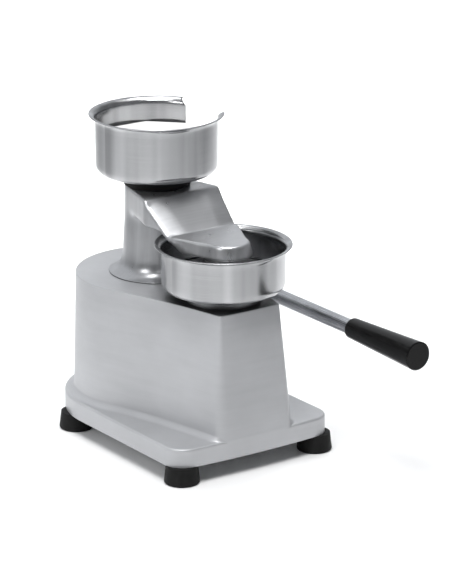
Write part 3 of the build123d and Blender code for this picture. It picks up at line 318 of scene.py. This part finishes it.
def linished_aluminium():
    """The neck casting: belt-ground up and down its upright faces and sideways across the others, with the
    faces that look up painted lighter, as light from above.
    """
    finish = Finish("cast_aluminium_linished", Metallic=0.75)
    upright = finish.noise((75.0, 75.0, 4.0), 3.0)
    across = finish.noise((9.0, 420.0, 420.0), 3.0)
    clouds = finish.noise((14.0, 14.0, 20.0), 3.0)
    grain = finish.noise(even(1500.0), 1.0)
    normal = finish.node("SeparateXYZ")
    finish.link(finish.node("NewGeometry").outputs["Normal"], normal.inputs["Vector"])
    facing_up = normal.outputs["Z"]
    # Faces that look up take the sideways grinding and a lighter tone: the grinding direction is the finish,
    # the lighter tone is painted light from above.
    level = finish.spread(finish.combine(facing_up, facing_up, "MULTIPLY"), 0.0, 1.0, 0.1, 0.3)
    tone = finish.blend(level, finish.spread(upright, 0.0, 0.6), finish.spread(across, 0.5, 0.64))
    tone = finish.combine(tone, finish.spread(clouds, -0.1, 0.25))
    finish.colour(tone, grey(0.27, 0.02), grey(0.52, 0.02))
    finish.rough(finish.spread(upright, 0.27, 0.36))
    relief = finish.combine(finish.spread(grain, 0.0, 0.6), finish.spread(across, 0.0, 0.4))
    finish.bump(relief, 0.02 * MM, 0.5)
    # Painted shade: the colour darkens in gaps and under the cup, where shade falls.
    finish.painted_crevice_shade(CREVICE_REACH, 0.3)
    return finish.material


def turned_aluminium():
    """Machined aluminium with fine tool rings, level by level."""
    finish = Finish("aluminium_turned", Metallic=1.0)
    rings = finish.noise((30.0, 30.0, 2400.0), 2.0)
    clouds = finish.noise(even(40.0), 3.0)
    finish.colour(finish.spread(clouds, 0.0, 1.0), grey(0.5, 0.01), grey(0.6, 0.01))
    finish.rough(finish.spread(rings, 0.24, 0.36))
    finish.bump(rings, 0.02 * MM, 0.5)
    return finish.material


def spun_stainless():
    """Spun and polished sheet: fine lines round the pan, soft upright stripes of painted reflection in its
    colour, and a stretched highlight.
    """
    finish = Finish("stainless_spun", Metallic=1.0, Anisotropic=0.55)
    around = finish.node("UVMap", uv_map="around").outputs["UV"]
    lines = finish.noise((9.0, 2600.0, 1.0), 2.0, source=around)
    # Painted reflection: soft upright stripes of light and dark round the pan, as mirrored softboxes.
    painted_reflection_bands = finish.noise((34.0, 1.5, 1.0), 2.5, source=around)
    tone = finish.combine(finish.spread(lines, 0.0, 0.25), finish.spread(painted_reflection_bands, -0.1, 0.85))
    finish.colour(tone, grey(0.25, 0.015), grey(0.56, 0.012))
    finish.rough(finish.combine(finish.spread(lines, 0.15, 0.22), finish.spread(painted_reflection_bands, 0.0, 0.05)))
    finish.bump(lines, 0.01 * MM, 0.35)
    tangent = finish.node("Tangent", direction_type="UV_MAP", uv_map="around")
    finish.link(tangent.outputs["Tangent"], finish.shader.inputs["Tangent"])
    # Painted shade: the colour darkens in the pans' inner corners and under them, where shade falls.
    finish.painted_crevice_shade(CREVICE_REACH, 0.3)
    return finish.material


def satin_chrome():
    """Plated rod with faint polishing lines and soft cloudy tone."""
    finish = Finish("chrome_satin", Metallic=1.0)
    lines = finish.noise((1800.0, 12.0, 1800.0), 2.0)
    clouds = finish.noise(even(30.0), 2.0)
    finish.colour(finish.spread(clouds, 0.0, 1.0), grey(0.42, 0.03), grey(0.54, 0.03))
    finish.rough(finish.spread(lines, 0.2, 0.3))
    finish.bump(lines, 0.008 * MM, 0.4)
    return finish.material


def ground_steel():
    """Ground and oiled shafts."""
    finish = Finish("steel_ground", Metallic=1.0)
    lines = finish.noise((900.0, 900.0, 2200.0), 2.0)
    finish.colour(finish.spread(lines, 0.0, 1.0), grey(0.46), grey(0.56))
    finish.rough(finish.spread(lines, 0.18, 0.3))
    finish.bump(lines, 0.01 * MM, 0.4)
    return finish.material


def forged_steel():
    """Dark oxide skin with a lightly pitted surface."""
    finish = Finish("steel_forged", Metallic=1.0)
    pits = finish.noise(even(420.0), 4.0)
    clouds = finish.noise(even(50.0), 4.0)
    finish.colour(finish.spread(clouds, 0.0, 1.0), (0.16, 0.155, 0.15), (0.27, 0.265, 0.26))
    finish.rough(finish.spread(pits, 0.38, 0.6))
    finish.bump(pits, 0.12 * MM, 0.5)
    return finish.material


def sintered_bronze():
    """Porous bush metal, dark and rough in its pores."""
    finish = Finish("bronze_sintered", Metallic=1.0)
    pores = finish.noise(even(1900.0), 2.0)
    finish.colour(finish.spread(pores, 0.0, 1.0, 0.35, 0.6), (0.32, 0.19, 0.08), (0.66, 0.43, 0.2))
    finish.rough(finish.spread(pores, 0.5, 0.32))
    finish.bump(pores, 0.05 * MM, 0.5)
    return finish.material


def plated_steel():
    """Bright zinc plating on screws, nuts and washers."""
    finish = Finish("steel_zinc_plated", Metallic=1.0)
    clouds = finish.noise(even(300.0), 3.0)
    finish.colour(finish.spread(clouds, 0.0, 1.0), (0.42, 0.43, 0.45), (0.58, 0.585, 0.59))
    finish.rough(finish.spread(clouds, 0.22, 0.4))
    finish.bump(finish.noise(even(2500.0), 1.0), 0.01 * MM, 0.5)
    return finish.material


def galvanised_sheet():
    """Base cover: large zinc crystals of slightly different greys."""
    finish = Finish("steel_galvanised", Metallic=1.0)
    crystals = finish.node("TexVoronoi")
    crystals.inputs["Scale"].default_value = 90.0
    finish.link(finish.place, crystals.inputs["Vector"])
    shade = finish.node("SeparateColor")
    finish.link(crystals.outputs["Color"], shade.inputs["Color"])
    finish.colour(shade.outputs["Red"], (0.36, 0.37, 0.38), (0.5, 0.51, 0.52))
    finish.rough(finish.spread(shade.outputs["Green"], 0.34, 0.52, 0.0, 1.0))
    finish.bump(finish.noise(even(700.0), 2.0), 0.02 * MM, 0.5)
    return finish.material


def black_rubber():
    """Matte moulded rubber with a little dust."""
    finish = Finish("rubber_matte", Specular_IOR_Level=0.2)
    dust = finish.noise((160.0, 160.0, 90.0), 5.0)
    finish.colour(finish.spread(dust, 0.0, 1.0, 0.4, 0.8), grey(0.005), grey(0.014))
    finish.rough(finish.spread(dust, 0.5, 0.75))
    finish.bump(finish.noise(even(1300.0), 2.0), 0.06 * MM, 0.5)
    return finish.material


def grip_plastic():
    """Gloss black grip with faint moulding waves and handling marks."""
    finish = Finish("plastic_gloss_black", Specular_IOR_Level=0.2)
    waves = finish.noise((60.0, 25.0, 60.0), 2.0)
    marks = finish.noise((500.0, 90.0, 500.0), 4.0)
    finish.colour(finish.spread(marks, 0.0, 1.0), grey(0.003), grey(0.008))
    finish.rough(finish.spread(marks, 0.12, 0.26, 0.35, 0.75))
    finish.bump(waves, 0.25 * MM, 0.3)
    return finish.material


def waxed_paper():
    """White separating paper with its fibres."""
    finish = Finish("paper_waxed", Specular_IOR_Level=0.35)
    fibres = finish.noise(even(1400.0), 3.0)
    clouds = finish.noise(even(90.0), 3.0)
    finish.colour(finish.spread(clouds, 0.0, 1.0), (0.7, 0.7, 0.695), (0.76, 0.76, 0.76))
    finish.rough(finish.spread(fibres, 0.42, 0.6))
    finish.bump(fibres, 0.03 * MM, 0.4)
    return finish.material


FINISHES = {
    "cast_aluminium": cast_aluminium(),
    "machined_aluminium": turned_aluminium(),
    "stainless_sheet": spun_stainless(),
    "chromed_steel": satin_chrome(),
    "ground_steel": ground_steel(),
    "forged_steel": forged_steel(),
    "bronze": sintered_bronze(),
    "steel_fasteners": plated_steel(),
    "steel_sheet": galvanised_sheet(),
    "rubber": black_rubber(),
    "grip_plastic": grip_plastic(),
    "waxed_paper": waxed_paper(),
}


def dress(mesh, material):
    """Give a mesh one material."""
    mesh.materials.clear()
    mesh.materials.append(material)


def dress_cad_nodes():
    """Give every carried-over node the finish of its material slot in the record."""
    for part in frame["record"]["subparts"]:
        dress(frame["nodes"][part["node"]].data, FINISHES[part["material_slot"]])


dress_cad_nodes()


# ---------------------------------------------------------------- piece and mesh helpers
def new_piece(name, mesh):
    """Object with a mesh, in the scene."""
    piece = bpy.data.objects.new(name, mesh)
    bpy.context.scene.collection.objects.link(piece)
    return piece


def settle(piece, body, node):
    """Hang a piece on the body it rides on, and hide the CAD node it stands in for."""
    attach(piece, body)
    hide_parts(node)


def apply_modifiers(piece):
    """Replace a piece's mesh with what its modifiers make of it."""
    graph = bpy.context.evaluated_depsgraph_get()
    mesh = bpy.data.meshes.new_from_object(piece.evaluated_get(graph))
    piece.modifiers.clear()
    piece.data = mesh


def smooth(piece, factor, iterations, group=""):
    """Even out a piece's surface, or the part of it in a vertex group."""
    step = piece.modifiers.new("smooth", "SMOOTH")
    step.factor = factor
    step.iterations = iterations
    step.vertex_group = group
    apply_modifiers(piece)


def closed_mesh(shape, name):
    """Mesh of a closed bmesh, with its faces turned outwards."""
    bmesh.ops.recalc_face_normals(shape, faces=shape.faces)
    mesh = bpy.data.meshes.new(name)
    shape.to_mesh(mesh)
    shape.free()
    return mesh


def add_ring(shape, axis, radius, height, sides, lean=0.0):
    """Corners of a level polygon about an upright axis, the first of them at the angle lean."""
    ring = []
    for side in range(sides):
        turn = lean + 2 * math.pi * side / sides
        corner = (axis.x + radius * math.cos(turn), axis.y + radius * math.sin(turn), height)
        ring.append(shape.verts.new(corner))
    return ring


def bridge(shape, rings):
    """Walls between rings that follow one another."""
    for ring, following in zip(rings, rings[1:]):
        for side in range(len(ring)):
            after = (side + 1) % len(ring)
            shape.faces.new((ring[side], ring[after], following[after], following[side]))


def cap(shape, rings):
    """Flat ends on the first and the last ring."""
    shape.faces.new(list(reversed(rings[0])))
    shape.faces.new(rings[-1])


def arc(centre, radius, start, stop, steps):
    """Points of a circular arc in a profile, from one angle to another in degrees, both ends included."""
    points = []
    for step in range(steps + 1):
        turn = math.radians(start + (stop - start) * step / steps)
        points.append((centre[0] + radius * math.cos(turn), centre[1] + radius * math.sin(turn)))
    return points


def smoothstep(value):
    """Smooth ramp of a value from 0 to 1."""
    value = min(1.0, max(0.0, value))
    return value * value * (3.0 - 2.0 * value)


# ---------------------------------------------------------------- spun pans: forming bowl and paper cup
SHEET = 1.2 * MM
BOWL_BORE_R = 65.0 * MM
LIP_R = 72.6 * MM
CORNER_R = 9.0 * MM
FLOOR_STEPS = 8
WALL_STEPS = 10
LIP_STEPS = 10
EDGE_STEPS = 5
TURN_STEPS = 240
SHARP_ANGLE = math.radians(40)
FLOOR_NORMAL = 0.7           # a face whose normal is more upright than this counts as floor

HOLE_SIDES = 32
ROD_BORE_R = 6.6 * MM
FIX_R = 30.0 * MM
FIX_TURNS = [math.radians(90 + 120 * turn) for turn in range(3)]
COUNTERSINK_R = 5.2 * MM
SHANK_R = 2.6 * MM
SCREW_HOLE = (               # radius, height over the floor
    (COUNTERSINK_R, 0.2 * MM),
    (SHANK_R, -2.4 * MM),
    (SHANK_R, -4.0 * MM),
)

CUP_CUT_FRONT = math.radians(-33.0)
CUP_CUT_REAR = math.radians(27.0)
CUP_CUT_REACH = 0.3
CUP_CUT_SLOPE = 8.0 * MM
CUP_SLOPE_START = 30.0 * MM
CUP_SLOPE_LENGTH = 80.0 * MM


def pan_profile(low, rim):
    """Half section of a spun pan as (radius, height) points, from the middle of its underside round the lip
    to the middle of its floor inside."""
    outer_r = BOWL_BORE_R + SHEET
    flare_r = LIP_R - outer_r
    flare_low = rim - SHEET - flare_r
    wall_low = low + CORNER_R
    wall = flare_low - low - CORNER_R
    corner = (outer_r - CORNER_R, wall_low)
    flare = (outer_r + flare_r, flare_low)
    edge = (flare[0], flare_low + flare_r + SHEET / 2)
    points = [(step * corner[0] / FLOOR_STEPS, low) for step in range(1, FLOOR_STEPS)]
    points += arc(corner, CORNER_R, -90, 0, LIP_STEPS)
    points += [(outer_r, wall_low + wall * step / WALL_STEPS) for step in range(1, WALL_STEPS)]
    points += arc(flare, flare_r, 180, 90, LIP_STEPS)
    points += arc(edge, SHEET / 2, -60, 90, EDGE_STEPS)           # starts clear of the flare's last point
    points += arc(flare, flare_r + SHEET, 92, 180, LIP_STEPS)     # starts clear of the edge's last point
    points += [(BOWL_BORE_R, flare_low - wall * step / WALL_STEPS) for step in range(1, WALL_STEPS)]
    points += arc(corner, CORNER_R - SHEET, 0, -90, LIP_STEPS)
    points += [(step * corner[0] / FLOOR_STEPS, low + SHEET) for step in range(FLOOR_STEPS - 1, 0, -1)]
    return points


def revolve(name, points, axis):
    """Closed mesh of a profile turned about an upright axis."""
    shape = bmesh.new()
    rings = [add_ring(shape, axis, radius, height, TURN_STEPS) for radius, height in points]
    bridge(shape, rings)
    for ring, height in ((rings[0], points[0][1]), (rings[-1], points[-1][1])):
        hub = shape.verts.new((axis.x, axis.y, height))
        for step in range(TURN_STEPS):
            shape.faces.new((ring[step], hub, ring[(step + 1) % TURN_STEPS]))
    return closed_mesh(shape, name)


def map_around(mesh, axis):
    """UV map of a pan in metres: the turn about its axis, and the way up its walls or out over its floor."""
    layer = mesh.uv_layers.new(name="around")
    for polygon in mesh.polygons:
        centre = polygon.center - axis
        base_turn = math.atan2(centre.y, centre.x)
        flat = abs(polygon.normal.z) > FLOOR_NORMAL
        for loop in polygon.loop_indices:
            place = mesh.vertices[mesh.loops[loop].vertex_index].co - axis
            turn = math.atan2(place.y, place.x)
            turn += 2 * math.pi * round((base_turn - turn) / (2 * math.pi))
            along = math.hypot(place.x, place.y) if flat else place.z
            layer.data[loop].uv = (turn * BOWL_BORE_R, along)


def cut(piece, cutters):
    """Take closed meshes away from a piece."""
    for cutter in cutters:
        tool = new_piece("cutter", cutter)
        step = piece.modifiers.new("cut", "BOOLEAN")
        step.operation = "DIFFERENCE"
        step.solver = "EXACT"
        step.object = tool
        bpy.context.view_layer.update()
        apply_modifiers(piece)
        bpy.data.objects.remove(tool)


def prism(outline, offset):
    """Closed mesh between a flat outline and its copy at an offset."""
    shape = bmesh.new()
    near = [shape.verts.new(point) for point in outline]
    far = [shape.verts.new(point + offset) for point in outline]
    bridge(shape, [near, far])
    cap(shape, [near, far])
    return closed_mesh(shape, "prism")


def bore(axis, low):
    """Cutter for the ejector rod's hole in a pan's floor."""
    shape = bmesh.new()
    heights = (low - SHEET, low + 2 * SHEET)
    rings = [add_ring(shape, axis, ROD_BORE_R, height, HOLE_SIDES) for height in heights]
    bridge(shape, rings)
    cap(shape, rings)
    return closed_mesh(shape, "bore")


def screw_hole(axis, turn, floor):
    """Cutter for a countersunk hole in a pan's floor: a cone with a straight shank below it."""
    shape = bmesh.new()
    centre = Vector((axis.x + FIX_R * math.cos(turn), axis.y + FIX_R * math.sin(turn), 0.0))
    rings = [add_ring(shape, centre, radius, floor + height, HOLE_SIDES) for radius, height in SCREW_HOLE]
    bridge(shape, rings)
    cap(shape, rings)
    return closed_mesh(shape, "screw_hole")


def cup_cutters(axis, low, rim):
    """The wedge cut out of the cup above its floor, and the slope at the wedge's rear upper corner."""
    wedge = [Vector((axis.x, axis.y, low + SHEET))]
    for turn in (CUP_CUT_FRONT, CUP_CUT_REAR):
        wedge.append(wedge[0] + Vector((math.cos(turn), math.sin(turn), 0.0)) * CUP_CUT_REACH)
    along = Vector((-math.sin(CUP_CUT_REAR), math.cos(CUP_CUT_REAR), 0.0)) * CUP_CUT_SLOPE
    outward = Vector((math.cos(CUP_CUT_REAR), math.sin(CUP_CUT_REAR), 0.0))
    up = Vector((0.0, 0.0, CUP_CUT_SLOPE))
    corner = Vector((axis.x, axis.y, rim)) + outward * CUP_SLOPE_START
    slope = [corner - along + up, corner - along - 2 * up, corner + 2 * along + up]
    return [prism(wedge, Vector((0.0, 0.0, rim - low))), prism(slope, outward * CUP_SLOPE_LENGTH)]


def axis_of(node):
    """Upright axis through the middle of a CAD node, as its point on the floor."""
    centre = middle(node)
    return Vector((centre.x, centre.y, 0.0))


def make_pan(name, node, axis, body, cutters):
    """One spun pan in place of a CAD node, with its screw holes and its own cuts."""
    low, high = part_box(node)
    piece = new_piece(name, revolve(name, pan_profile(low.z, high.z), axis))
    holes = [screw_hole(axis, turn, low.z + SHEET) for turn in FIX_TURNS]
    cut(piece, holes + cutters)
    map_around(piece.data, axis)
    piece.data.shade_smooth()
    piece.data.set_sharp_from_angle(angle=SHARP_ANGLE)
    dress(piece.data, FINISHES["stainless_sheet"])
    settle(piece, body, node)


def make_bowl():
    """The forming bowl on the body, with the bore for the ejector rod."""
    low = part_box("forming_bowl")[0].z
    axis = axis_of("ejector_rod")
    make_pan("forming_bowl_spun", "forming_bowl", axis, "body", [bore(axis, low)])


def make_cup():
    """The cut-away paper cup on the head."""
    low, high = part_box("paper_cup")
    axis = axis_of("column_shaft")
    make_pan("paper_cup_spun", "paper_cup", axis, "head", cup_cutters(axis, low.z, high.z))


make_bowl()
make_cup()


# ---------------------------------------------------------------- neck casting
NECK_WELD = 0.3 * MM
NECK_VOXEL = 1.1 * MM
NOSE_DROP = 32.0 * MM        # from the top of the arm down to the top of the nose
ARM_DEPTH = 29.3 * MM        # from the top of the arm down to its lower edge

# The sloping front of the arm; distances are from the bowl's axis back, and from the middle sideways.
SLOPE_FRONT = 37.0 * MM
SLOPE_REAR = 77.0 * MM
SLOPE_FRONT_HALF = 42.0 * MM
SLOPE_REAR_HALF = 49.0 * MM
SLOPE_MARGIN = 0.1           # how far the crown runs past the slope's ends, as a share of its run
SLOPE_FADE = 0.25            # how much of the run the crown takes to grow
CROWN_WIDTH = 24.0 * MM      # how far in from the slope's edges it is crowned
CROWN_DROP = 4.0 * MM
CROWN_REACH = 12.0 * MM      # how far below the slope the drop fades out

DRAFT = 0.26                 # outward run of the nose's sides per unit downwards
DRAFT_START = 2.0 * MM       # below the top of the nose
DRAFT_FADE = 25.0 * MM
DRAFT_INNER_R = 15.0 * MM    # what is nearer the bowl's axis than this keeps its shape
NOSE_DEPTH = 15.0 * MM       # the sides spread no further below this depth

JOIN_REAR = 96.0 * MM        # behind the bowl's axis, where the arm's side runs into the column
JOIN_FRONT = 70.0 * MM
JOIN_FULL = 7.2 * MM         # above and below the arm's lower edge, where it melts fully
JOIN_FADE = 12.0 * MM        # past that, until it stays as it is
MELT_FACTOR = 0.7
MELT_ITERATIONS = 60
SOFTEN_FACTOR = 0.5
SOFTEN_ITERATIONS = 6


def crown_slope(mesh, axis, top, nose_top):
    """Lower the sloping front of the arm towards its side edges, so that they are broad and soft."""
    for vertex in mesh.vertices:
        back = vertex.co.y - axis.y
        run = (back - SLOPE_FRONT) / (SLOPE_REAR - SLOPE_FRONT)
        if not -SLOPE_MARGIN < run < 1.0 + SLOPE_MARGIN:
            continue
        depth = nose_top + (top - nose_top) * run - vertex.co.z
        half = SLOPE_FRONT_HALF + (SLOPE_REAR_HALF - SLOPE_FRONT_HALF) * run
        inward = (half - abs(vertex.co.x - axis.x)) / CROWN_WIDTH
        share = max(0.0, 1.0 - max(0.0, inward)) ** 2
        share *= smoothstep((run + SLOPE_MARGIN) / SLOPE_FADE)
        share *= smoothstep((1.0 + SLOPE_MARGIN - run) / SLOPE_FADE)
        share *= smoothstep(1.0 - depth / CROWN_REACH)
        vertex.co.z -= CROWN_DROP * share


def draft_nose(mesh, axis, nose_top):
    """Spread the sides of the nose below its upper edge, as they are drawn from a mould."""
    for vertex in mesh.vertices:
        depth = nose_top - DRAFT_START - vertex.co.z
        if depth <= 0.0 or vertex.co.y - axis.y > SLOPE_FRONT:
            continue
        offset = Vector((vertex.co.x - axis.x, vertex.co.y - axis.y, 0.0))
        if offset.length > DRAFT_INNER_R:
            fade = smoothstep((SLOPE_FRONT - offset.y) / DRAFT_FADE)
            vertex.co += offset.normalized() * min(depth, NOSE_DEPTH) * DRAFT * fade


def soften_join(piece, axis, arm_low):
    """Melt the lower edge of the arm into the column."""
    group = piece.vertex_groups.new(name="join")
    for vertex in piece.data.vertices:
        back = vertex.co.y - axis.y
        along = smoothstep((back - JOIN_FRONT) / (JOIN_REAR - JOIN_FRONT))
        level = smoothstep((JOIN_FULL + JOIN_FADE - abs(vertex.co.z - arm_low)) / JOIN_FADE)
        if along * level > 0.0:
            group.add([vertex.index], along * level, "REPLACE")
    smooth(piece, MELT_FACTOR, MELT_ITERATIONS, group.name)


def make_neck():
    """The neck casting with the softly rounded edges of a fettled casting."""
    piece = new_piece("neck_casting_soft", frame["nodes"]["neck_casting"].data.copy())
    weld = piece.modifiers.new("weld", "WELD")
    weld.merge_threshold = NECK_WELD
    shell = piece.modifiers.new("shell", "REMESH")
    shell.mode = "VOXEL"
    shell.voxel_size = NECK_VOXEL
    shell.use_smooth_shade = True
    apply_modifiers(piece)

    axis = middle("ejector_rod")
    arm_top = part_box("neck_casting")[1].z
    crown_slope(piece.data, axis, arm_top, arm_top - NOSE_DROP)
    draft_nose(piece.data, axis, arm_top - NOSE_DROP)
    soften_join(piece, axis, arm_top - ARM_DEPTH)
    smooth(piece, SOFTEN_FACTOR, SOFTEN_ITERATIONS)
    piece.data.shade_smooth()
    dress(piece.data, linished_aluminium())
    settle(piece, "head", "neck_casting")


make_neck()


# ---------------------------------------------------------------- separating papers
PAPER_SIDES = 8
PAPER_SEED = 7
PACKS = 46
PAPER_LEAN = math.radians(22.5)
PAPER_LEAN_PLAY = 0.8        # degrees either way
PAPER_SHIFT = 0.35 * MM      # either way
PAPER_MARGIN = 0.9 * MM      # keeps shifted packs inside the CAD stack's outline
PAPER_CORNER = 8.0 * MM      # how much narrower the lowest papers are, where the cup's corner is round
PACK_EDGE = (                # share of a pack's height, inset
    (0.0, 0.25 * MM),
    (0.2, 0.0),
    (0.8, 0.0),
    (0.98, 0.25 * MM),
)


def make_papers():
    """Stack of eight-sided papers, in thin packs that lie a little out of line with one another."""
    low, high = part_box("paper_stack")
    centre = middle("paper_stack")
    thick = (high.z - low.z) / PACKS
    corner_r = (high.x - low.x) / 2 / math.cos(math.pi / PAPER_SIDES)
    draw = random.Random(PAPER_SEED)
    stack = bmesh.new()
    for pack in range(PACKS):
        pack_r = min(corner_r, corner_r - PAPER_CORNER + pack * thick) - PAPER_MARGIN
        shift = Vector((draw.uniform(-1, 1), draw.uniform(-1, 1), 0.0)) * PAPER_SHIFT
        lean = PAPER_LEAN + math.radians(draw.uniform(-PAPER_LEAN_PLAY, PAPER_LEAN_PLAY))
        rings = []
        for level, inset in PACK_EDGE:
            height = low.z + thick * (pack + level)
            rings.append(add_ring(stack, centre + shift, pack_r - inset, height, PAPER_SIDES, lean))
        bridge(stack, rings)
        cap(stack, rings)
    piece = new_piece("papers", closed_mesh(stack, "papers"))
    dress(piece.data, FINISHES["waxed_paper"])
    settle(piece, "head", "paper_stack")


make_papers()
